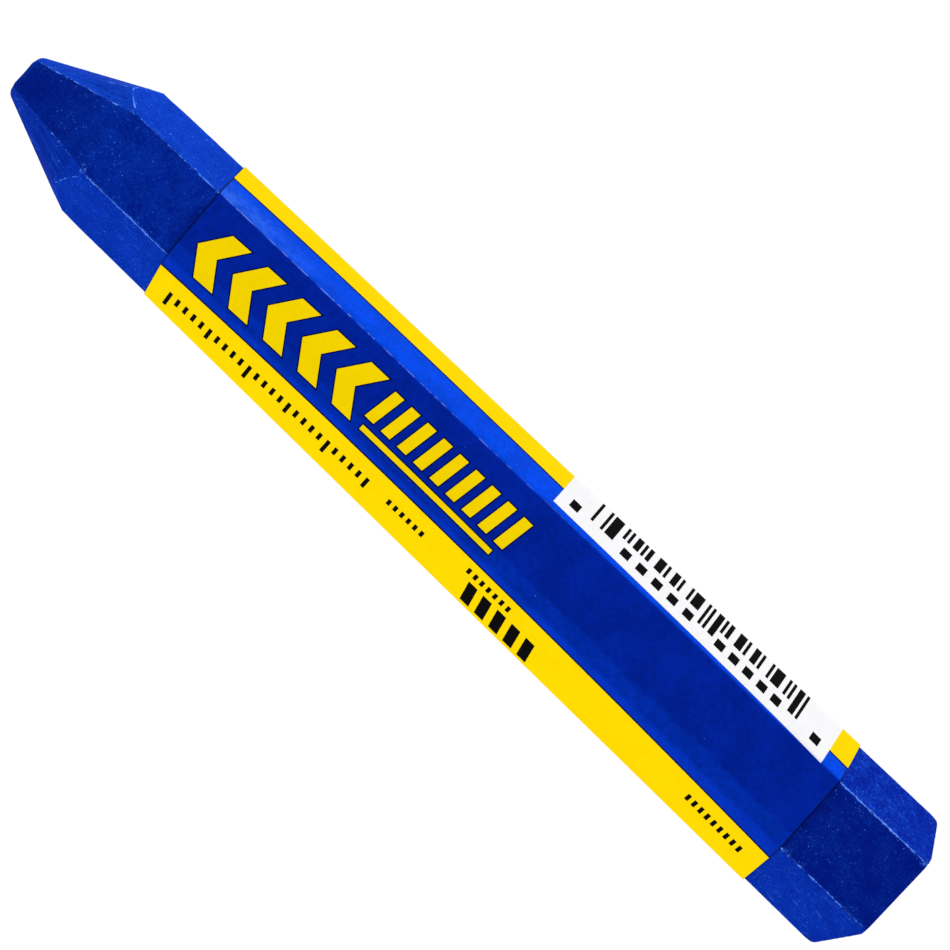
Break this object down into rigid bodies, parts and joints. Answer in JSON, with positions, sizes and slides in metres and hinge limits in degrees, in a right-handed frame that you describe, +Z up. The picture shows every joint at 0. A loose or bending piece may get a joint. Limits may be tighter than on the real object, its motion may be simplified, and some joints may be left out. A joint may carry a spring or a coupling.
{
  "type": "marking crayon",
  "caption": "Hexagonal wax marking crayon with a blunt faceted point and a printed wraparound label, lying on one flat.",
  "frame": {"origin": "on the surface that the crayon lies on, under the middle of its length and width", "axes": "+X to the writing point, +Z up, away from the surface, and +Y across the crayon, to the side of the text stripe"},
  "size_m": [0.1142, 0.017, 0.015],
  "materials": {
    "blue_wax": "deep blue wax and clay, satin, with pale specks, scuffed pale edges and fine drag marks on the point",
    "printed_film": "thin printed film, blue with yellow stripes, a white panel and plain black and yellow marks, semi-gloss",
    "label_glue": "thin translucent hot-melt adhesive"
  },
  "bodies": {
    "root": {"crayon_stick": "blue_wax", "label_wrap": "printed_film", "pickup_glue_strip": "label_glue", "lap_glue_strip": "label_glue"}
  },
  "joints": []
}
